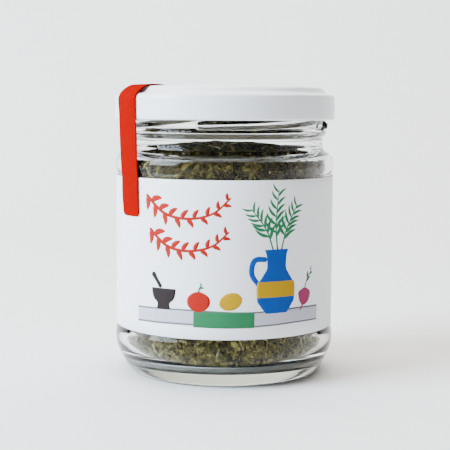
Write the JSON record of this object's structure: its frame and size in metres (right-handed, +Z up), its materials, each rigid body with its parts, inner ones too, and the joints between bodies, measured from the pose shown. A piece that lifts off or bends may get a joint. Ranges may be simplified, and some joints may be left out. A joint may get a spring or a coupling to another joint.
{
  "type": "jar of dried tarragon",
  "caption": "Sealed round glass jar filled with dried cut tarragon leaves, with a white twist-off metal lid, a wraparound paper label and an orange seal strip from lid to label.",
  "frame": {"origin": "centre of the base, on the surface that the jar stands on", "axes": "+Z up along the jar's axis, -Y towards the front of the label, +X to the right as seen from the front"},
  "size_m": [0.0732, 0.0732, 0.0952],
  "materials": {
    "glass": "clear, smooth",
    "lacquered_tinplate": "white lacquer, satin gloss",
    "sealing_compound": "soft, satin",
    "label_paper": "coated, matt",
    "seal_paper": "coated, matt",
    "dried_herb": "dry, matt leaf flakes"
  },
  "bodies": {
    "root": {"jar": "glass", "lid": "lacquered_tinplate", "lid_liner": "sealing_compound", "label": "label_paper", "seal_strip": "seal_paper", "dried_tarragon": "dried_herb"}
  },
  "joints": []
}
